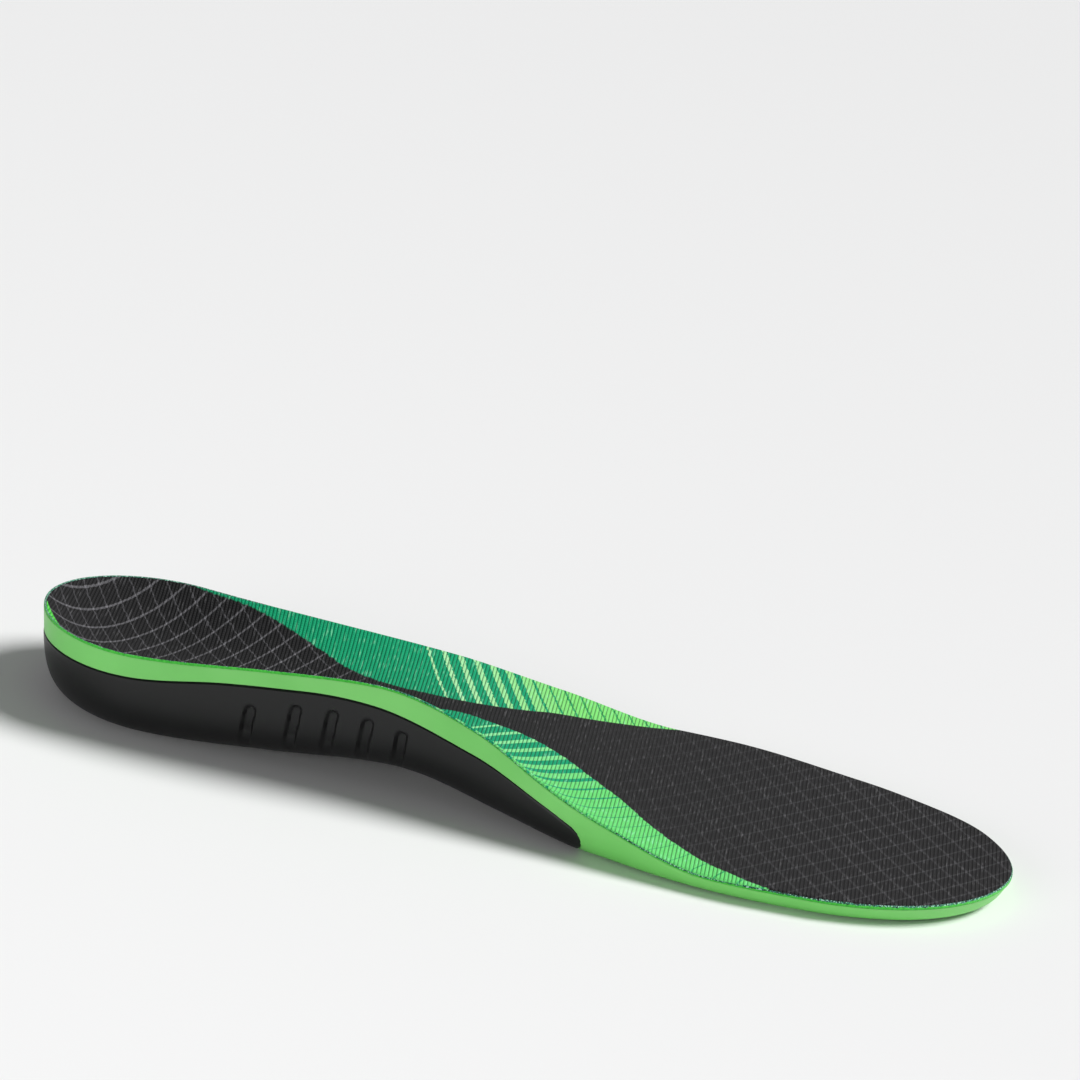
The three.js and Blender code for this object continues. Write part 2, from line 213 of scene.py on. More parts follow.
def bent_way(zone, station, section):
    """The share that brings each point of a side column onto a line like the shell's front edge."""
    way = station.copy()
    side = np.where(zone == LATERAL, 1.0, -1.0)
    for _ in range(8):
        edge = front_share(side * section(way)[0])
        behind = station * edge / front_middle
        ahead = 1 - (1 - station) * (1 - edge) / (1 - front_middle)
        sides = (zone == MEDIAL) | (zone == LATERAL)
        way = np.where(sides, np.where(station <= front_middle, behind, ahead), station)
    return way


def bent_skin(name, x, y, z, closed=True):
    """A skin bent from a flat grid: x, y and z hold a row for each column round the piece, and
    the last column joins the first if the skin is closed."""
    columns, rows = x.shape
    skin = bmesh.new()
    steps = columns if closed else columns - 1
    bmesh.ops.create_grid(skin, x_segments=steps, y_segments=rows - 1, size=0.5)
    for vert in skin.verts:
        i = round((vert.co.x + 0.5) * steps) % columns
        k = round((vert.co.y + 0.5) * (rows - 1))
        vert.co = (x[i, k], y[i, k], z[i, k])
    bmesh.ops.remove_doubles(skin, verts=skin.verts, dist=2e-6)
    bmesh.ops.dissolve_degenerate(skin, edges=skin.edges, dist=1e-6)
    loose = [edge for edge in skin.edges if not edge.link_faces]
    bmesh.ops.delete(skin, geom=loose, context="EDGES")
    bmesh.ops.recalc_face_normals(skin, faces=skin.faces)
    return finished(name, skin)


def finished(name, shape, smooth=math.radians(40)):
    """The object of a bmesh, smooth where its faces meet at less than the given angle."""
    mesh = bpy.data.meshes.new(name)
    shape.to_mesh(mesh)
    shape.free()
    mesh.shade_smooth()
    mesh.set_sharp_from_angle(angle=smooth)
    piece = bpy.data.objects.new(name, mesh)
    bpy.context.scene.collection.objects.link(piece)
    return piece


def grown_outline(points, grow):
    """A plan outline moved outwards by grow."""
    before, after = np.roll(points, 1, 0), np.roll(points, -1, 0)
    way = after - before
    way /= np.linalg.norm(way, axis=1)[:, None]
    return points + grow * np.stack([way[:, 1], -way[:, 0]], 1)


def turned_ring(name, points, section):
    """A closed ring that follows a plan outline; section lists (distance outside it, height)."""
    rows = [grown_outline(points, grow) for grow, _ in section]
    x = np.stack([row[:, 0] for row in rows], 1)
    y = np.stack([row[:, 1] for row in rows], 1)
    z = np.tile([height for _, height in section], (len(points), 1))
    return bent_skin(name, x, y, z)


def cut_away(piece, cutter):
    """Takes the cutter out of the piece, and the cutter out of the scene."""
    cut = piece.modifiers.new("cut", "BOOLEAN")
    cut.operation = "DIFFERENCE"
    cut.solver = "EXACT"
    cut.object = cutter
    bpy.context.view_layer.update()
    live = piece.evaluated_get(bpy.context.evaluated_depsgraph_get())
    mesh = bpy.data.meshes.new_from_object(live)
    piece.modifiers.clear()
    piece.data = mesh
    mesh.shade_smooth()
    mesh.set_sharp_from_angle(angle=math.radians(40))
    bpy.data.objects.remove(cutter)


def joined(piece, extra):
    """One piece of two."""
    shape = bmesh.new()
    shape.from_mesh(piece.data)
    seamless = bmesh.new()
    seamless.from_mesh(extra.data)
    bmesh.ops.remove_doubles(seamless, verts=seamless.verts, dist=2e-6)
    bmesh.ops.recalc_face_normals(seamless, faces=seamless.faces)
    seamless.to_mesh(extra.data)
    seamless.free()
    shape.from_mesh(extra.data)
    name = piece.name
    bpy.data.objects.remove(piece)
    bpy.data.objects.remove(extra)
    return finished(name, shape)


# Gel pad outlines. The heel pad is an ellipse; the forefoot pad is a waisted bean whose
# corners are shares of half its length and of the width of the ball of the foot.
turn = np.linspace(0, 2 * math.pi, 121)[:-1]
heel_pad_middle = np.array((-0.084946, -0.010743))
heel_pad_turn = math.radians(9)
ellipse = np.stack([0.0295 * np.cos(turn), 0.01675 * np.sin(turn)], 1)
spun = np.array(((math.cos(heel_pad_turn), math.sin(heel_pad_turn)),
                 (-math.sin(heel_pad_turn), math.cos(heel_pad_turn))))
heel_outline = ellipse @ spun + heel_pad_middle


def rounded_outline(corners, count):
    """A smooth closed outline through the corners, with points at an even pitch."""
    ring = np.array(corners)
    dense = []
    for i in range(len(ring)):
        p0, p1, p2, p3 = (ring[(i + k) % len(ring)] for k in (-1, 0, 1, 2))
        for t in np.linspace(0, 1, 20, endpoint=False):
            dense.append(0.5 * (2 * p1 + (p2 - p0) * t + (2 * p0 - 5 * p1 + 4 * p2 - p3) * t**2
                                + (3 * p1 - p0 - 3 * p2 + p3) * t**3))
    dense = np.array(dense)
    gone = np.concatenate([[0], np.cumsum(np.linalg.norm(np.roll(dense, -1, 0) - dense, axis=1))])
    at = np.linspace(0, gone[-1], count, endpoint=False)
    wrapped = np.concatenate([dense, dense[:1]])
    return np.stack([np.interp(at, gone, wrapped[:, k]) for k in (0, 1)], 1)


bean = [(0.671, 0.611), (0.550, 0.757), (0.239, 0.827), (-0.350, 0.853), (-0.793, 0.821),
        (-0.998, 0.756), (-0.906, 0.624), (-0.735, 0.436), (-0.694, 0.146), (-0.694, -0.191),
        (-0.550, -0.565), (-0.107, -0.773), (0.402, -0.820), (0.829, -0.762), (1.003, -0.594),
        (0.939, -0.347), (0.767, 0.041), (0.702, 0.375)]
forefoot_outline = rounded_outline([
    heel_centre + along * (0.155 + ahead * 0.0273)
    + across * side * (0.0468 if side > 0 else 0.043)
    for ahead, side in bean
], 260)


def round_the_edge(heel, side, toes, back=None):
    """The zone and way of every column: heel, side and toes list the ways, and back the lateral ones."""
    if back is None:
        back = np.concatenate([[1.0], side[:0:-1]])
    zones = [np.full(len(ways), zone) for zone, ways in enumerate((heel, side, toes, back))]
    return np.concatenate(zones), np.concatenate([heel, side, toes, back])


# Columns of the foam: the two at the shell's front edge stand in the same place, so that the
# recess ends there in a clean step. Rows run from the spine over the top, down and under.
behind_steps = np.linspace(0, front_middle, 80)
ahead_steps = np.linspace(front_middle, 1, 70)[:-1]
foam_zone, foam_way = round_the_edge(
    np.linspace(0, 1, 64, endpoint=False), np.concatenate([behind_steps, ahead_steps]),
    np.linspace(0, 1, 90, endpoint=False))
side_recessed = np.arange(len(behind_steps) + len(ahead_steps)) < len(behind_steps)
foam_recessed = np.concatenate([np.ones(64, bool), side_recessed, np.zeros(91, bool), side_recessed[:0:-1]])

top_out = np.array([0, 0.2, 0.4, 0.6, 0.75, 0.88, 0.96])
above = np.linspace(1, 0, 12)
below = np.linspace(1, 0, 26)
sole_t = np.concatenate([np.linspace(0.5, 0.46, 9)[1:], np.linspace(0.46, 0, 34)[1:]])
count = len(top_out) + len(above) + len(below) + len(sole_t)
zone = np.repeat(foam_zone[:, None], count, 1)
station = np.repeat(foam_way[:, None], count, 1)
recessed = np.repeat(foam_recessed[:, None], count, 1)
row = np.arange(count)[None, :] + 0 * zone
on_top = row < len(top_out)
on_band = ~on_top & (row < len(top_out) + len(above))


def foam_section(way):
    """Distance out and height of every foam point, for the shares of its columns."""
    place, share = place_of(zone, way), share_of(zone, way)
    behind = np.where(zone == HEEL, 1.0, (front_middle - station) * spine_length)
    edge = shell_top(place, share, np.maximum(behind, 0))
    t = np.concatenate([0 * top_out, above, below, sole_t])[None, :] + 0 * way
    t = np.where(on_band, edge + (1 - edge) * t, t)
    on_wall = ~on_top & ~on_band & (row < count - len(sole_t))
    t = np.where(on_wall, 0.5 + (edge - 0.5) * t, t)
    out, height = outside(place, share, t)
    into, up = inwards(place, share, t)
    depth = np.where(recessed & ~on_top & ~on_band, shell_wall + touching, 0)
    out, height = out + into * depth, height + up * depth
    crown = np.concatenate([top_out, np.ones(count - len(top_out))])[None, :]
    seat = top_height(place, share, crown + 0 * way) - cover_thickness - touching
    out = np.where(on_top, crown * edge_radius(place), np.maximum(out, 0))
    return out, np.where(on_top, seat, height)


foam_bent = bent_way(zone, station, foam_section)
foam_out, foam_height = foam_section(foam_bent)
foam_x, foam_y = plan_of(zone, foam_bent, foam_out)

# A soft swell stands round the forefoot pocket, so the rest of the sole lies a little higher.
spots = np.stack([foam_x.ravel(), foam_y.ravel()], 1)
gap = np.sqrt(((spots[:, None, :] - forefoot_outline[None, ::2, :]) ** 2).sum(2)).min(1)
gap = gap.reshape(foam_x.shape)
swell = np.exp(-((gap - 0.0016) / 0.0022) ** 2)
forward = np.clip((share_of(zone, foam_bent) - 0.66) / 0.05, 0, 1)
sole_only = np.clip(1 - foam_height / 0.0025, 0, 1) * (~on_top)
foam_height += 0.00035 * forward * sole_only * (1 - swell)

# The trimming line near the toe: a fine raised line just inside the edge.
trimming_inset, trimming_width, trimming_depth = 0.0042, 0.00028, 0.00022
inset = edge_radius(place_of(zone, foam_bent)) - foam_out
at_toe = np.select([zone == TOE, zone == HEEL], [0 * station + 1, 0 * station],
                   np.clip((station - 0.9) / 0.06, 0, 1))
line = np.exp(-((inset - trimming_inset) / trimming_width) ** 2) * (~on_top) * (foam_height < 0.004)
foam_height -= trimming_depth * line * at_toe
foam = bent_skin("foam", foam_x, foam_y, foam_height)

# Pockets with rounded mouths, then the lip that shows through the shell's window.
pocket_wall = [(0.0010, 0.0024), (0.0010, 0.0012), (0.00115, 0.0008), (0.0015, 0.0005),
               (0.0021, 0.0003), (0.0021, -0.004)]


def capped(name, points, section):
    """A solid plug that follows a plan outline, closed above and below."""
    strip = turned_ring("strip", points, section)
    plug = bmesh.new()
    plug.from_mesh(strip.data)
    bpy.data.objects.remove(strip)
    rims = [edge for edge in plug.edges if edge.is_boundary]
    bmesh.ops.holes_fill(plug, edges=rims, sides=0)
    bmesh.ops.recalc_face_normals(plug, faces=plug.faces)
    return finished(name, plug)


cut_away(foam, capped("forefoot_pocket", forefoot_outline, pocket_wall))
cut_away(foam, capped("heel_pocket", heel_outline, [(0.0007, 0.0035), (0.0007, -0.004)]))
lip = turned_ring("lip", heel_outline, [
    (0.00072, 0.0024), (0.00072, 0.0012), (0.00082, 0.00092), (0.00105, 0.0008), (0.00135, 0.0008),
    (0.0016, 0.00092), (0.0017, 0.0012), (0.0017, 0.0024), (0.00072, 0.0024)])
foam = joined(foam, lip)


def solid_of(name, curve):
    """The mesh object of a text or curve, its doubles merged by joined()."""
    holder = bpy.data.objects.new(name, curve)
    bpy.context.scene.collection.objects.link(holder)
    bpy.context.view_layer.update()
    live = holder.evaluated_get(bpy.context.evaluated_depsgraph_get())
    mesh = bpy.data.meshes.new_from_object(live)
    bpy.data.objects.remove(holder)
    return bpy.data.objects.new(name, mesh)


# The size figure, raised on the sole inside the trimming line.
figure = bpy.data.curves.new("figure", "FONT")
figure.body = "39"
figure.size = 0.0062
figure.extrude = 0.0001
figure.offset = 0.00012
figure.resolution_u = 6
figure.align_x = "CENTER"
figure.align_y = "CENTER"
stamp = solid_of("figure", figure)
turned_under = Matrix.Rotation(math.radians(90), 4, "Z") @ Matrix.Rotation(math.pi, 4, "X")
stamp.data.transform(Matrix.Translation((0.1208, -0.0005, 0.00028)) @ turned_under)
foam = joined(foam, stamp)


def number(tree, kind, *inputs, clamp=False):
    """A Math node fed by sockets or plain numbers."""
    node = tree.nodes.new("ShaderNodeMath")
    node.operation = kind
    node.use_clamp = clamp
    for socket, value in zip(node.inputs, inputs):
        if isinstance(value, bpy.types.NodeSocket):
            tree.links.new(value, socket)
        else:
            socket.default_value = value
    return node.outputs[0]


def plus(tree, first, *others):
    for other in others:
        first = number(tree, "ADD", first, other)
    return first


def minus(tree, first, second):
    return number(tree, "SUBTRACT", first, second)


def times(tree, first, *others):
    for other in others:
        first = number(tree, "MULTIPLY", first, other)
    return first


def ramp(tree, value, low, high):
    """0 below low, 1 above high, smooth between."""
    node = tree.nodes.new("ShaderNodeMapRange")
    node.interpolation_type = "SMOOTHSTEP"
    tree.links.new(value, node.inputs["Value"])
    node.inputs["From Min"].default_value = low
    node.inputs["From Max"].default_value = high
    return node.outputs["Result"]


def blended(tree, share, first, second):
    """Colour that goes from first to second with share."""
    node = tree.nodes.new("ShaderNodeMix")
    node.data_type = "RGBA"
    for socket, value in zip((node.inputs[0], node.inputs[6], node.inputs[7]), (share, first, second)):
        if isinstance(value, bpy.types.NodeSocket):
            tree.links.new(value, socket)
        elif isinstance(value, tuple):
            socket.default_value = (*value, 1)
        else:
            socket.default_value = value
    return node.outputs[2]


def noise(tree, where, scale, detail=2.0, stretch=None):
    """Noise at a scale in lumps for each metre."""
    node = tree.nodes.new("ShaderNodeTexNoise")
    node.inputs["Scale"].default_value = scale
    node.inputs["Detail"].default_value = detail
    if stretch:
        mapping = tree.nodes.new("ShaderNodeMapping")
        mapping.inputs["Scale"].default_value = stretch
        tree.links.new(where, mapping.inputs["Vector"])
        where = mapping.outputs["Vector"]
    tree.links.new(where, node.inputs["Vector"])
    return node.outputs["Fac"]


def new_material(name, **constants):
    """A material with a Principled BSDF whose constants are set on its own sockets."""
    material = bpy.data.materials.new(name)
    material.use_nodes = True
    tree = material.node_tree
    tree.nodes.clear()
    surface = tree.nodes.new("ShaderNodeBsdfPrincipled")
    end = tree.nodes.new("ShaderNodeOutputMaterial")
    tree.links.new(surface.outputs["BSDF"], end.inputs["Surface"])
    for socket, value in constants.items():
        surface.inputs[socket.replace("_", " ")].default_value = value
    return material, tree, surface


def bumped(tree, surface, height, distance, strength=1.0):
    node = tree.nodes.new("ShaderNodeBump")
    node.inputs["Distance"].default_value = distance
    node.inputs["Strength"].default_value = strength
    tree.links.new(height, node.inputs["Height"])
    tree.links.new(node.outputs["Normal"], surface.inputs["Normal"])


# Moulding grain: fine grain on a soft slow waviness, for everything that came out of a mould.
grain = bpy.data.node_groups.new("moulding_grain", "ShaderNodeTree")
grain.interface.new_socket("Place", in_out="INPUT", socket_type="NodeSocketVector")
grain.interface.new_socket("Grain", in_out="INPUT", socket_type="NodeSocketFloat").default_value = 3000
grain.interface.new_socket("Height", in_out="OUTPUT", socket_type="NodeSocketFloat")
grain.interface.new_socket("Patches", in_out="OUTPUT", socket_type="NodeSocketFloat")
given, made = grain.nodes.new("NodeGroupInput"), grain.nodes.new("NodeGroupOutput")
fine = grain.nodes.new("ShaderNodeTexNoise")
fine.inputs["Detail"].default_value = 3
grain.links.new(given.outputs["Place"], fine.inputs["Vector"])
grain.links.new(given.outputs["Grain"], fine.inputs["Scale"])
slow = noise(grain, given.outputs["Place"], 45, 2)
mixed = plus(grain, times(grain, fine.outputs["Fac"], 0.35), times(grain, slow, 0.65))
grain.links.new(mixed, made.inputs["Height"])
grain.links.new(slow, made.inputs["Patches"])


def grained(tree, size):
    """The moulding grain group on Object coordinates."""
    coordinates = tree.nodes.new("ShaderNodeTexCoord")
    node = tree.nodes.new("ShaderNodeGroup")
    node.node_tree = grain
    node.inputs["Grain"].default_value = size
    tree.links.new(coordinates.outputs["Object"], node.inputs["Place"])
    return coordinates.outputs["Object"], node.outputs["Height"], node.outputs["Patches"]


foam_green, tree, surface = new_material(
    "foam_green", Roughness=0.42, Subsurface_Weight=0.12, Subsurface_Scale=0.004,
    Subsurface_Radius=(0.5, 1.0, 0.4), Specular_IOR_Level=0.45)
where, height, patches = grained(tree, 5200)
pores = ramp(tree, noise(tree, where, 9000, 1), 0.66, 0.74)
colour = blended(tree, ramp(tree, patches, 0.3, 0.7), (0.17, 0.60, 0.125), (0.2, 0.65, 0.15))
colour = blended(tree, times(tree, pores, 0.12), colour, (0.08, 0.36, 0.06))
tree.links.new(colour, surface.inputs["Base Color"])
tree.links.new(plus(tree, times(tree, patches, 0.16), 0.36), surface.inputs["Roughness"])
bumped(tree, surface, height, 0.00012, 0.5)
foam.data.materials.clear()
foam.data.materials.append(foam_green)
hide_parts("foam_bed")
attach(foam, "root")

# ---------------------------------------------------------------------------------------
# Top cover. Printed polyester knit on a thin green foam backing, moulded and glued over the
# whole bed and cut flush round the edge, where yarn ends and the backing show.

heel_ways, side_ways, toe_ways = (np.linspace(0, 1, count, endpoint=False) for count in (110, 150, 120))
cover_zone, cover_way = round_the_edge(
    heel_ways, side_ways, toe_ways, np.linspace(1, 0, 150, endpoint=False))
rings = np.concatenate([np.linspace(0, 0.8, 26), np.linspace(0.8, 0.978, 14)[1:]])
rounding = 0.0008
# Rows from the spine over the top, round the rim and back under: share out, distance past it, height.
cover_rows = [(out, 0.0, 0.0) for out in rings]
for a in np.linspace(0, math.pi / 2, 6):
    cover_rows.append((1.0, rounding * (math.sin(a) - 1), rounding * (math.cos(a) - 1)))
cover_rows += [(1.0, 0.0, -0.0009), (1.0, 0.0, -0.00105), (1.0, -0.0001, -cover_thickness)]
cover_rows += [(out, 0.0, -cover_thickness) for out in (*rings[::-3], 0.0)]
share_out, extra, down = (np.array(column)[None, :] for column in zip(*cover_rows))
zone = np.repeat(cover_zone[:, None], share_out.shape[1], 1)
way = np.repeat(cover_way[:, None], share_out.shape[1], 1)
place, share = place_of(zone, way), share_of(zone, way)
radius = edge_radius(place)
fraction = share_out + extra / radius
cover_x, cover_y = plan_of(zone, way, fraction * radius)
cover_z = top_height(place, share, np.minimum(fraction, 1)) + down
cover = bent_skin("knit_cover", cover_x, cover_y, cover_z)

# The knit follows the cloth, so each point keeps how far out it lies along the surface.
cloth = cover.data.uv_layers.new(name="cloth")
points = np.empty(len(cover.data.vertices) * 3)
cover.data.vertices.foreach_get("co", points)
points = points.reshape(-1, 3)
ahead = (points[:, :2] - heel_centre) @ along / spine_length
side = (points[:, :2] - heel_centre) @ across
nearest = np.clip(ahead, 0, 1)
start = heel_centre + nearest[:, None] * spine_length * along
ray = points[:, :2] - start
reach = np.linalg.norm(ray, axis=1)
half_turns = np.mod(np.arctan2(ray[:, 1], ray[:, 0]) - lean, 2 * math.pi) / math.pi
spot_zone = np.where(ahead < 0, HEEL, np.where(ahead > 1, TOE, np.where(side < 0, MEDIAL, LATERAL)))
spot_way = np.where(spot_zone == HEEL, half_turns - 0.5,
                    np.where(spot_zone == TOE, np.mod(half_turns + 0.5, 2), nearest))
spot_place = place_of(spot_zone, spot_way)
spot_share = share_of(spot_zone, spot_way)
spot_radius = edge_radius(spot_place)
curve_out = np.linspace(0, 1, 60)[None, :] * (reach / spot_radius)[:, None]
curve_up = top_height(spot_place[:, None], spot_share[:, None], np.clip(curve_out, 0, 1))
lengths = np.hypot(np.diff(curve_out * spot_radius[:, None], axis=1), np.diff(curve_up, axis=1)).sum(1)
stretch = np.where(reach > 1e-6, lengths / np.maximum(reach, 1e-6), 1)
flat_cloth = start + ray * stretch[:, None]
corners = np.empty(len(cover.data.loops), int)
cover.data.loops.foreach_get("vertex_index", corners)
cloth.data.foreach_set("uv", flat_cloth[corners].ravel())

printed_knit, tree, surface = new_material(
    "printed_knit", Roughness=0.85, Sheen_Weight=0.09, Sheen_Roughness=0.4, Specular_IOR_Level=0.12)
coordinates = tree.nodes.new("ShaderNodeTexCoord")


def in_millimetres(tree, place):
    """The x and y of a place, in millimetres."""
    scaled = tree.nodes.new("ShaderNodeVectorMath")
    scaled.operation = "SCALE"
    scaled.inputs["Scale"].default_value = 1000
    tree.links.new(place, scaled.inputs[0])
    split = tree.nodes.new("ShaderNodeSeparateXYZ")
    tree.links.new(scaled.outputs[0], split.inputs[0])
    return split.outputs["X"], split.outputs["Y"]


wander = times(tree, minus(tree, noise(tree, coordinates.outputs["Object"], 900, 2), 0.5), 0.9)
x, y = (plus(tree, value, wander) for value in in_millimetres(tree, coordinates.outputs["Object"]))
cloth_x, cloth_y = in_millimetres(tree, coordinates.outputs["UV"])


def slanted(tree, x, y, degrees):
    """Distance from a line that runs at the given angle, in the units of x and y."""
    turned = math.radians(degrees)
    return minus(tree, times(tree, x, math.sin(turned)), times(tree, y, math.cos(turned)))


def wave(tree, value, pitch):
    """The distance from the nearest of a set of lines, 0 on the line and 0.5 between two."""
    return number(tree, "PINGPONG", number(tree, "DIVIDE", value, pitch), 0.5)


# Knit: wales run across the foot, each a column of slanted loops; both pitches in millimetres.
wale_pitch, loop_pitch = 0.98, 0.72
wale = slanted(tree, cloth_x, cloth_y, 100)
course = slanted(tree, cloth_x, cloth_y, 10)
across_wale = wave(tree, wale, wale_pitch)
rib = ramp(tree, across_wale, 0.02, 0.34)
loop = wave(tree, plus(tree, course, times(tree, across_wale, 0.7)), loop_pitch)
knit_height = times(tree, rib, plus(tree, times(tree, loop, 0.7), 0.65))
combined = tree.nodes.new("ShaderNodeCombineXYZ")
tree.links.new(times(tree, wale, 1.6), combined.inputs[0])
tree.links.new(times(tree, course, 0.22), combined.inputs[1])
yarn = noise(tree, combined.outputs[0], 1.0, 2.5)
streak = ramp(tree, yarn, 0.56, 0.72)
dull = ramp(tree, yarn, 0.46, 0.3)


def drawn(tree, value, low, high, knots):
    """A share from 0 to 1 against a value that goes from low to high, through the knots."""
    node = tree.nodes.new("ShaderNodeFloatCurve")
    curve = node.mapping.curves[0]
    places = [((at - low) / (high - low), share) for at, share in knots]
    curve.points[0].location = places[0]
    curve.points[-1].location = places[-1]
    for place in places[1:-1]:
        curve.points.new(*place)
    node.mapping.update()
    tree.links.new(number(tree, "DIVIDE", minus(tree, value, low), high - low), node.inputs["Value"])
    return node.outputs[0]


def drawn_edge(tree, x, knots):
    """The y of a printed outline at x, through the knots, in millimetres."""
    shares = [(kx, (ky + 60) / 120) for kx, ky in knots]
    return minus(tree, times(tree, drawn(tree, x, -130, 130, shares), 120), 60)


lateral_edge = drawn_edge(tree, x, [
    (-130, 40), (-118, 28), (-110, 23.5), (-103, 21), (-95, 20.9), (-85, 21.2), (-78, 20.6),
    (-70, 18.9), (-62, 16.4), (-55, 13.3), (-48, 10.9), (-40, 9.3), (-30, 8.7), (-22, 9.3),
    (-15, 11.2), (-10, 13.5), (-5, 16.5), (0, 20.3), (10, 26.6), (20, 34.4), (27, 40),
    (34, 45), (50, 58), (130, 59)])
medial_edge = drawn_edge(tree, x, [
    (-130, -59), (-80, -58), (-68, -44), (-58, -29), (-48, -16.5), (-38, -7), (-28, -0.5),
    (-20, 2.3), (-10, 2.0), (0, 1.2), (10, -2.4), (20, -8.5), (30, -15.3), (40, -24.8),
    (50, -32.6), (60, -38), (65, -39.6), (71.5, -41.8), (80, -43.4), (95, -52), (130, -59)])
on_lateral = ramp(tree, minus(tree, y, lateral_edge), -0.25, 0.25)
on_medial = ramp(tree, minus(tree, medial_edge, y), -0.25, 0.25)


def striped(tree, value, start, pitch, first, widths):
    """1 on the dark stripes and before the first light one, 0 on the light ones. The widths pair
    the way along with half the width of a dark stripe, as a share of the pitch."""
    phase = wave(tree, minus(tree, value, start), pitch)
    half = drawn(tree, value, widths[0][0], widths[-1][0], widths)
    dark = ramp(tree, minus(tree, half, phase), -0.03, 0.03)
    before = ramp(tree, minus(tree, first, value), -0.12, 0.12)
    return number(tree, "MAXIMUM", dark, before)


lateral_way = slanted(tree, x, y, 121)
lateral_dark = striped(tree, lateral_way, -14.8, 4.14, -17.1, [
    (-20, 0.42), (-14.8, 0.385), (-10.7, 0.34), (-6.5, 0.32), (-2.4, 0.3), (1.8, 0.28),
    (5.9, 0.21), (10, 0.09), (20, 0.075), (40, 0.065)])
medial_way = minus(tree, minus(tree, x, times(tree, y, 0.8)), times(tree, y, y, 0.006))
medial_dark = striped(tree, medial_way, -7.0, 5.8, -10.4, [
    (-15, 0.4), (-7, 0.375), (-1.2, 0.34), (4.6, 0.32), (10.4, 0.29), (16.2, 0.26), (22, 0.22),
    (27.8, 0.17), (34, 0.09), (110, 0.08)])

black, teal = (0.0085, 0.0083, 0.0088), (0.005, 0.36, 0.16)
lateral_light = blended(tree, ramp(tree, lateral_way, -16, 22), (0.42, 0.84, 0.42), (0.22, 0.76, 0.18))
medial_light = blended(tree, ramp(tree, medial_way, -12, 40), (0.28, 0.82, 0.36), (0.15, 0.72, 0.18))
lateral_colour = blended(tree, lateral_dark, lateral_light,
                         blended(tree, ramp(tree, lateral_way, 4, 24), teal, (0.03, 0.36, 0.1)))
medial_colour = blended(tree, medial_dark, medial_light,
                        blended(tree, ramp(tree, medial_way, 20, 70), teal, (0.03, 0.40, 0.13)))

# The grey grid: two crossing sets of fine lines, clear at the heel and faint ahead.
heel_a = wave(tree, plus(tree, slanted(tree, x, y, 63), 86.1), 4.9)
heel_b = wave(tree, plus(tree, slanted(tree, x, y, 143.5), 54.1), 4.75)
fore_a = wave(tree, slanted(tree, x, y, 57), 5.0)
fore_b = wave(tree, slanted(tree, x, y, 129), 5.6)
line_a = ramp(tree, heel_a, 0.07, 0.025)
line_b = ramp(tree, heel_b, 0.06, 0.02)
heel_grid = plus(tree, times(tree, line_a, 0.75), times(tree, line_b, 0.42), times(tree, line_a, line_b, 0.5))
heel_grid = times(tree, heel_grid, ramp(tree, x, -36, -62))
fore_grid = plus(tree, ramp(tree, fore_a, 0.09, 0.03), ramp(tree, fore_b, 0.09, 0.03))
fore_grid = times(tree, fore_grid, ramp(tree, x, -20, 110), 0.22)
worn = plus(tree, times(tree, yarn, 1.2), 0.2)
grid = number(tree, "MULTIPLY", plus(tree, heel_grid, fore_grid), worn, clamp=True)

# Painted shade: the knit is black in the grooves between ribs and lighter on the rib crests; the light
# melange streaks show on the crests only.
base = blended(tree, rib, black, (0.0195, 0.019, 0.02))
base = blended(tree, times(tree, streak, rib, 0.7), base, (0.1, 0.098, 0.102))
base = blended(tree, times(tree, grid, 0.85), base, (0.21, 0.205, 0.22))
base = blended(tree, on_lateral, base, lateral_colour)
base = blended(tree, on_medial, base, medial_colour)
lively = number(tree, "MAXIMUM", on_lateral, on_medial)
base = blended(tree, times(tree, streak, lively, 0.42), base, (0.36, 0.9, 0.56))
base = blended(tree, times(tree, dull, lively, 0.16), base, (0.004, 0.12, 0.06))
# Painted shade: the printed colours are darker in the grooves between ribs.
base = blended(tree, times(tree, minus(tree, 1.0, rib), lively, 0.2), base, (0.004, 0.10, 0.045))
bare_edge = tree.nodes.new("ShaderNodeAttribute")
bare_edge.attribute_name = "level"
# The bare backing is lighter green on the rib crests and darker in the grooves between ribs, painted shade.
bare_backing = blended(tree, rib, (0.03, 0.42, 0.03), (0.12, 0.66, 0.09))
base = blended(tree, ramp(tree, bare_edge.outputs["Fac"], 0.3, 0.7), base, bare_backing)
tree.links.new(base, surface.inputs["Base Color"])
tree.links.new(minus(tree, 0.95, times(tree, rib, 0.18)), surface.inputs["Roughness"])
bumped(tree, surface, plus(tree, knit_height, times(tree, yarn, 0.35)), 0.00028)

# The cut edge: loose yarn ends in the print's colours over the bright green backing.
cut_edge, tree, surface = new_material(
    "cut_edge", Roughness=0.8, Sheen_Weight=0.2, Specular_IOR_Level=0.3)
coordinates = tree.nodes.new("ShaderNodeTexCoord")
level = tree.nodes.new("ShaderNodeAttribute")
level.attribute_name = "level"
ends = noise(tree, coordinates.outputs["Object"], 1500, 3)
speck = noise(tree, coordinates.outputs["Object"], 2600, 1)
frayed = plus(tree, level.outputs["Fac"], times(tree, minus(tree, ends, 0.5), 0.9))
yarn_colour = blended(tree, ramp(tree, speck, 0.4, 0.5), (0.02, 0.02, 0.02), (0.02, 0.22, 0.13))
yarn_colour = blended(tree, ramp(tree, speck, 0.56, 0.64), yarn_colour, (0.4, 0.66, 0.52))
backing = blended(tree, ramp(tree, ends, 0.35, 0.65), (0.035, 0.44, 0.03), (0.07, 0.56, 0.055))
colour = blended(tree, ramp(tree, frayed, 0.46, 0.24), backing, yarn_colour)
tree.links.new(colour, surface.inputs["Base Color"])
bumped(tree, surface, ends, 0.0004, 0.8)

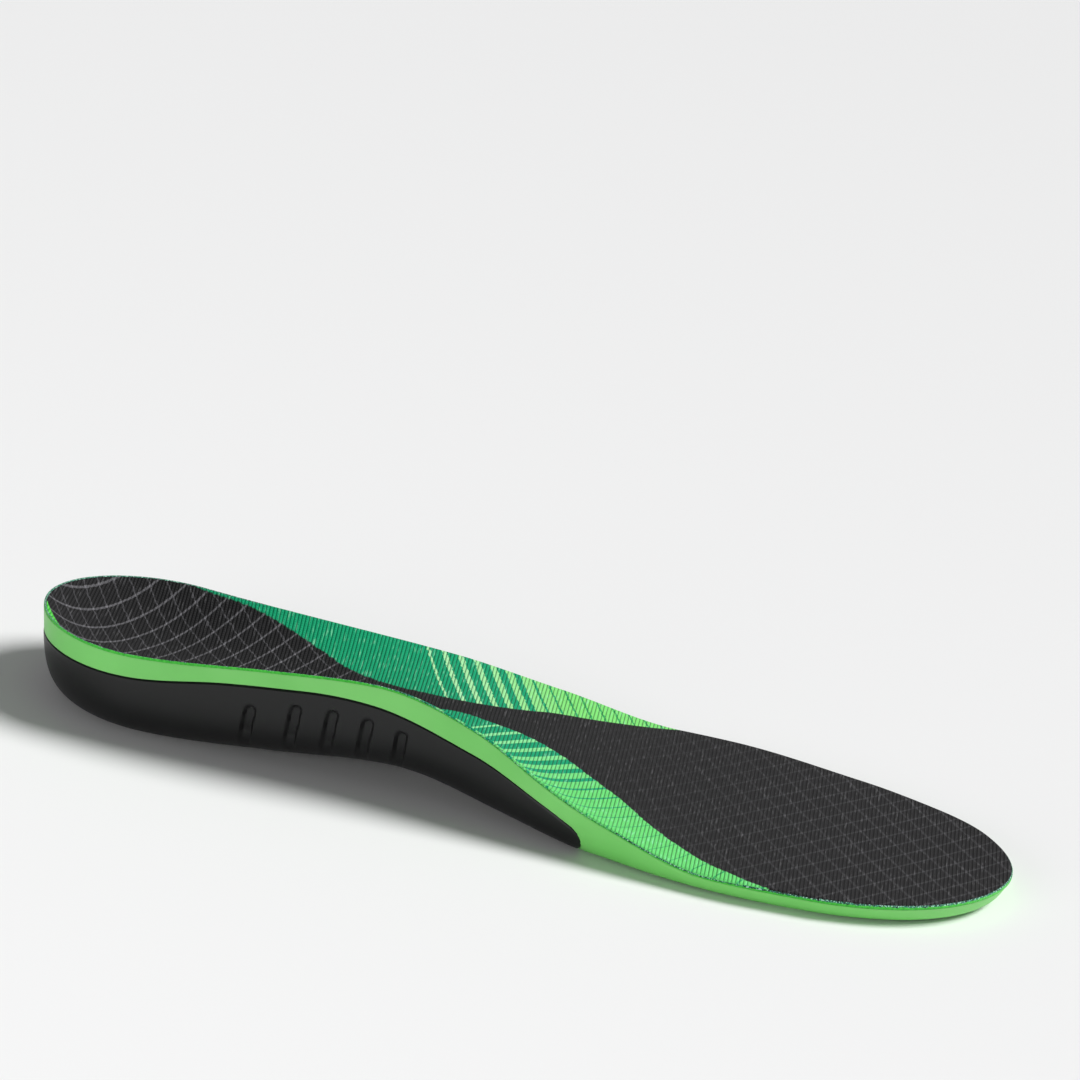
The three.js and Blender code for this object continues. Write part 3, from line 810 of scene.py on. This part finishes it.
cover.data.materials.append(printed_knit)
cover.data.materials.append(cut_edge)
knit_top = top_height(spot_place, spot_share, np.clip(reach / spot_radius, 0, 1))
drop = (knit_top - points[:, 2]) / cover_thickness
level = cover.data.attributes.new("level", "FLOAT", "POINT")
wrap = flowing([
    (0, 0.03), (medial(0.3), 0.04), (medial(0.46), 0.7), (medial(0.8), 0.6), (toe(-60), 0.15),
    (toe(60), 0.15), (lateral(0.6), 0.5), (lateral(0.1), 0.1),
], once_round)(spot_place)
below_print = (drop - wrap) / (1 - wrap)
# The knit was trimmed back a little on the medial side of the heel, where the backing shows on top.
trimmed = 0.0054 * np.exp(-((spot_place - medial(-0.18)) / 0.011) ** 2) - 0.0007
bare = np.clip((trimmed - (spot_radius - reach)) / 0.0005, 0, 1)
level.data.foreach_set("value", np.where(below_print > 0, np.clip(below_print, 0, 1), bare))
for face in cover.data.polygons:
    face.material_index = 1 if max(below_print[v] for v in face.vertices) > 0.04 else 0
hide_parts("top_cover")
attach(cover, "root")

# ---------------------------------------------------------------------------------------
# Arch shell. A firm black cup, moulded in one piece, that wraps the heel and props the arch.
# It lies flush in the foam, has soft rounded edges, five finger dimples on the medial wall,
# fine raised lines on the sole and a window for the heel pad.

side_steps = np.concatenate([
    np.linspace(0, 0.12, 14, endpoint=False), np.linspace(0.12, 0.44, 150, endpoint=False),
    np.linspace(0.44, front_middle - 0.012, 36, endpoint=False),
    np.linspace(front_middle - 0.012, front_middle, 14)])
heel_ways = np.linspace(1, 0, 102)[1:-1]
shell_zone = np.concatenate([
    np.full(len(side_steps), MEDIAL), np.full(len(heel_ways), HEEL), np.full(len(side_steps), LATERAL)])
shell_way = np.concatenate([side_steps[::-1], heel_ways, side_steps])
nose = shell_wall / 2
outer_t = np.concatenate([np.linspace(0, 0.5, 26, endpoint=False), np.linspace(0.5, 1, 52)])
inner_t = outer_t[-2::-1]
shell_t = np.concatenate([outer_t, inner_t])
outer = (np.arange(len(shell_t)) < len(outer_t))[None, :]
zone = np.repeat(shell_zone[:, None], len(shell_t), 1)
station = np.repeat(shell_way[:, None], len(shell_t), 1)


def shell_section(way):
    """Distance out and height of every shell point, for the shares of its columns."""
    place, share = place_of(zone, way), share_of(zone, way)
    behind = np.where(zone == HEEL, 1.0, (front_middle - station) * spine_length)
    edge = shell_top(place, share, np.maximum(behind, 0))
    t = shell_t[None, :] + 0 * way
    t = np.where(t > 0.5, 0.5 + (edge - 0.5) * (t - 0.5) / 0.5, t)
    out, height = outside(place, share, t)
    top_out, top_up = outside(place, share, edge)
    below_edge = np.hypot(top_out - out, top_up - height)
    within = np.minimum(below_edge, np.maximum(behind, 0))
    fall = nose * (1 - np.sqrt(np.clip(1 - np.clip(1 - within / nose, 0, 1) ** 2, 0, 1)))
    depth = np.where(outer, fall - 0.00012, shell_wall - fall)
    depth = np.where(within < 1e-7, nose, depth)
    into, up = inwards(place, share, t)
    return np.maximum(out + into * depth, 0), height + up * depth


shell_bent = bent_way(zone, station, shell_section)
shell_out, shell_height = shell_section(shell_bent)
shell_out[:, [0, -1]] = 0  # both skins close along the spine
shell_x, shell_y = plan_of(zone, shell_bent, shell_out)

# Finger dimples: rounded at the top, open below, pressed into the medial wall.
dimple_half, dimple_depth, dimple_soft = 0.0018, 0.0012, 0.0009
for middle, crown, foot in (
        (-0.0616, 0.0177, 0.005), (-0.0501, 0.0205, 0.0062), (-0.0408, 0.0212, 0.0065),
        (-0.0318, 0.0208, 0.0065), (-0.0229, 0.0195, 0.0065)):
    lean_over = 0.12 * (crown - shell_height)
    sideways = np.abs(shell_x - middle + lean_over)
    over = np.maximum(shell_height - (crown - dimple_half), 0)
    from_middle = np.hypot(sideways, over)
    pressed = np.clip((dimple_half - from_middle) / dimple_soft, 0, 1)
    pressed = pressed * pressed * (3 - 2 * pressed)
    fade = np.clip((shell_height - foot) / 0.005, 0, 1)
    shell_y += dimple_depth * pressed * fade * outer * (zone == MEDIAL)
shell = bent_skin("shell", shell_x, shell_y, shell_height, closed=False)
cut_away(shell, capped("window", heel_outline, [
    (0.0020, 0.004), (0.0020, 0.0010), (0.00215, 0.0006), (0.0025, 0.0003), (0.0031, 0.00005),
    (0.0040, -0.00012), (0.0040, -0.004)]))

# Fine raised lines on the sole, each tapering away at both ends.
sole_lines = [
    [(-33.7, 26.2), (-26.9, 22.3), (-15.1, 18.3), (-5.5, 14.9), (-1.1, 9.8), (0, 3.2), (-2.8, -4.1),
     (-8, -9.9), (-11.4, -15.4)],
    [(-39.9, 24.3), (-34, 19.4), (-24.5, 14.4), (-16.1, 10.4), (-11.6, 5.7), (-10.6, 0.2), (-12.5, -6.1),
     (-15.5, -12.2), (-16.9, -16.3)],
    [(14.3, 7.8), (5.2, 1.4), (-4, -9.3), (-9.8, -20.5)],
    [(14.1, -2.8), (6.3, -7.4), (-4.1, -19.1)],
    [(12.9, -12.6), (6.2, -17.1), (-0.2, -23.9)],
    [(14.5, -18.2), (5.3, -24.6)],
    [(16.9, -26.1), (5.9, -33.3)],
]


def sole_height(x, y):
    """The shell's underside at a plan point."""
    rel = np.array((x, y)) - heel_centre
    share, side = float(rel @ along) / spine_length, float(rel @ across)
    place = lateral(share) if side > 0 else medial(share)
    flat = float(edge_radius(place) - turn_in(place))
    low, lift = float(spine_lift(share)), float(edge_lift(place))
    if abs(side) <= flat:
        return low + (lift - low) * (side / flat) ** 2
    t = np.linspace(0.5, 1, 60)
    out, up = outside(np.full(60, place), np.full(60, share), t)
    return float(np.interp(abs(side), out, up))


raised = bpy.data.curves.new("raised_lines", "CURVE")
raised.dimensions = "3D"
raised.bevel_depth = 0.00024
raised.bevel_resolution = 1
raised.use_fill_caps = True
for knots in sole_lines:
    knots = np.array(knots) / 1000
    gone = np.concatenate([[0], np.cumsum(np.linalg.norm(np.diff(knots, axis=0), axis=1))])
    at = np.linspace(0, gone[-1], max(12, int(gone[-1] / 0.0012)))
    flow_x, flow_y = (flowing(list(zip(gone, knots[:, k]))) for k in (0, 1))
    spline = raised.splines.new("POLY")
    spline.points.add(len(at) - 1)
    for i, (px, py) in enumerate(zip(flow_x(at), flow_y(at))):
        taper = math.sin(math.pi * min(max(at[i] / gone[-1], 0.001), 0.999)) ** 0.6
        spline.points[i].co = (px, py, sole_height(px, py) - 0.00006, 1)
        spline.points[i].radius = max(taper, 0.08)
shell = joined(shell, solid_of("raised_lines", raised))

shell_black, tree, surface = new_material("shell_black", Roughness=0.42, Specular_IOR_Level=0.3)
where, height, patches = grained(tree, 6500)
colour = blended(tree, patches, (0.0065, 0.0067, 0.0068), (0.010, 0.0103, 0.0105))
tree.links.new(colour, surface.inputs["Base Color"])
tree.links.new(plus(tree, times(tree, patches, 0.14), 0.33), surface.inputs["Roughness"])
bumped(tree, surface, height, 0.00009, 0.5)
shell.data.materials.clear()
shell.data.materials.append(shell_black)
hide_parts("arch_shell")
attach(shell, "root")

# ---------------------------------------------------------------------------------------
# Gel pads. Lime thermoplastic gel, moulded as a thin plate with a rounded border and rows of
# low domes that grip and cushion. They are glued into their pockets under heel and ball.


def inside_by(points, outline):
    """How far inside the outline each point lies; negative outside."""
    a, b = outline, np.roll(outline, -1, 0)
    edge = b - a
    rel = points[:, None, :] - a[None, :, :]
    t = np.clip((rel * edge).sum(2) / (edge**2).sum(1), 0, 1)
    far = np.linalg.norm(rel - t[:, :, None] * edge, axis=2).min(1)
    up = (a[None, :, 1] > points[:, None, 1]) != (b[None, :, 1] > points[:, None, 1])
    with np.errstate(divide="ignore", invalid="ignore"):
        crossing = a[None, :, 0] + rel[:, :, 1] * edge[None, :, 0] / edge[None, :, 1]
    inside = (up & (points[:, None, 0] < crossing)).sum(1) % 2 == 1
    return np.where(inside, far, -far)


dome_pitch, dome_radius, dome_flatness = 0.0037, 0.00138, 0.62
border = 0.0021  # from a pad's edge to the middles of its first domes


def dome_places(outline, pitch):
    """Dome middles: two rows that follow the outline, then staggered rows, then the gaps."""
    chosen = np.zeros((0, 2))
    for ring in range(2):
        depth = border + ring * pitch * 0.9
        row = grown_outline(outline, -depth)
        keep = inside_by(row, outline) > depth - 0.0002
        if not keep.any():
            break
        gone = np.concatenate([[0], np.cumsum(np.linalg.norm(np.diff(row, axis=0), axis=1))])
        count = max(3, round(gone[-1] / pitch))
        at = (np.arange(count) + 0.5 * (ring % 2)) * gone[-1] / count
        spots = np.stack([np.interp(at, gone, row[:, k]) for k in (0, 1)], 1)
        spots = spots[inside_by(spots, outline) > depth - 0.0003]
        for spot in spots:
            if not len(chosen) or np.linalg.norm(chosen - spot, axis=1).min() > pitch * 0.86:
                chosen = np.vstack([chosen, spot])
    low, high = outline.min(0), outline.max(0)
    rows = np.arange(low[0], high[0], pitch * 0.87)
    fillers = np.array([(px, py + pitch / 2 * (k % 2)) for k, px in enumerate(rows)
                        for py in np.arange(low[1], high[1], pitch)])
    gx, gy = np.meshgrid(np.arange(low[0], high[0], 0.0005), np.arange(low[1], high[1], 0.0005))
    for spots, apart in ((fillers, 0.84), (np.stack([gx.ravel(), gy.ravel()], 1), 0.9)):
        for spot in spots[inside_by(spots, outline) > border]:
            if np.linalg.norm(chosen - spot, axis=1).min() > pitch * apart:
                chosen = np.vstack([chosen, spot])
    return chosen


def gel_pad(name, outline, top, face):
    """A plate from top down to face, its border rounded, with domes under it."""
    plate = capped(name, outline, [
        (0, top), (0, face + 0.0005), (-0.00008, face + 0.0003), (-0.00025, face + 0.00014),
        (-0.0005, face + 0.00004), (-0.0008, face)])
    shape = bmesh.new()
    shape.from_mesh(plate.data)
    bpy.data.objects.remove(plate)
    one = bmesh.new()
    bmesh.ops.create_uvsphere(one, u_segments=12, v_segments=8, radius=dome_radius)
    bmesh.ops.scale(one, verts=one.verts, vec=(1, 1, dome_flatness))
    dome = bpy.data.meshes.new("dome")
    one.to_mesh(dome)
    one.free()
    for px, py in dome_places(outline, dome_pitch):
        dome.transform(Matrix.Translation((px, py, face)))
        shape.from_mesh(dome, face_normals=False, vertex_normals=False)
        dome.transform(Matrix.Translation((-px, -py, -face)))
    bpy.data.meshes.remove(dome)
    return finished(name, shape, math.radians(50))


gel_lime, tree, surface = new_material(
    "gel_lime", Roughness=0.24, Subsurface_Weight=0.45, Subsurface_Scale=0.003,
    Subsurface_Radius=(0.7, 1.0, 0.2), Specular_IOR_Level=0.5, Coat_Weight=0.25, Coat_Roughness=0.15)
where, height, patches = grained(tree, 2600)
colour = blended(tree, patches, (0.25, 0.56, 0.035), (0.32, 0.64, 0.06))
tree.links.new(colour, surface.inputs["Base Color"])
bumped(tree, surface, height, 0.00006, 0.4)
pad_face = 0.00088  # the domes stand below it, down to the floor
forefoot_pad = gel_pad("forefoot_gel", forefoot_outline, 0.0020, pad_face)
heel_pad = gel_pad("heel_gel", heel_outline, 0.0032, pad_face)
for pad, node in ((forefoot_pad, "forefoot_gel_pad"), (heel_pad, "heel_gel_pad")):
    pad.data.materials.append(gel_lime)
    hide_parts(node)
    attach(pad, "root")

# ---------------------------------------------------------------------------------------
# The floor, light and camera.

floor_mesh = bpy.data.meshes.new("floor")
sheet = bmesh.new()
bmesh.ops.create_grid(sheet, x_segments=1, y_segments=1, size=12)
sheet.to_mesh(floor_mesh)
sheet.free()
floor = bpy.data.objects.new("floor", floor_mesh)
bpy.context.scene.collection.objects.link(floor)
floor_pale, tree, surface = new_material("floor_pale", Roughness=0.6, Specular_IOR_Level=0.2)
surface.inputs["Base Color"].default_value = (0.85, 0.85, 0.85, 1)
# It can be looked through from below, so that the sole can be seen.
clear, either = tree.nodes.new("ShaderNodeBsdfTransparent"), tree.nodes.new("ShaderNodeMixShader")
tree.links.new(tree.nodes.new("ShaderNodeNewGeometry").outputs["Backfacing"], either.inputs[0])
tree.links.new(surface.outputs["BSDF"], either.inputs[1])
tree.links.new(clear.outputs["BSDF"], either.inputs[2])
tree.links.new(either.outputs["Shader"], tree.nodes["Material Output"].inputs["Surface"])
floor_mesh.materials.append(floor_pale)

world = bpy.data.worlds.new("studio")
world.use_nodes = True
world.node_tree.nodes["Background"].inputs["Color"].default_value = (0.98, 0.99, 1.0, 1)
world.node_tree.nodes["Background"].inputs["Strength"].default_value = 0.155
bpy.context.scene.world = world


def lamp(name, kind, energy, place, aim, **settings):
    light = bpy.data.lights.new(name, kind)
    light.energy = energy
    for key, value in settings.items():
        setattr(light, key, value)
    holder = bpy.data.objects.new(name, light)
    holder.location = place
    holder.rotation_euler = (Vector(aim) - Vector(place)).to_track_quat("-Z", "Y").to_euler()
    bpy.context.scene.collection.objects.link(holder)


lamp("key", "SUN", 3.85, (0.93, 0.40, 1.0), (0, 0, 0), angle=math.radians(26))
lamp("softbox", "AREA", 15, (-0.5, -1.7, 0.28), (0, 0, 0), size=1.0)

azimuth, elevation, roll = (math.radians(angle) for angle in (13.26, 19.68, 9.49))
back = Vector((0, -math.cos(elevation), math.sin(elevation)))
back.rotate(Matrix.Rotation(azimuth, 3, "Z"))
level_right = Vector((math.cos(azimuth), math.sin(azimuth), 0))
level_up = back.cross(level_right)
right = level_right * math.cos(roll) + level_up * math.sin(roll)
up = level_up * math.cos(roll) - level_right * math.sin(roll)
camera = bpy.data.objects.new("camera", bpy.data.cameras.new("camera"))
camera.data.lens = 149.62
camera.data.sensor_width = 36
camera.data.clip_end = 60
camera.matrix_world = Matrix.Translation(Vector((-0.0461, 0.1731, 0)) + 1.3217 * back) @ Matrix((
    (right.x, up.x, back.x), (right.y, up.y, back.y), (right.z, up.z, back.z))).to_4x4()
bpy.context.scene.collection.objects.link(camera)
bpy.context.scene.camera = camera
bpy.context.scene.view_settings.view_transform = "Standard"
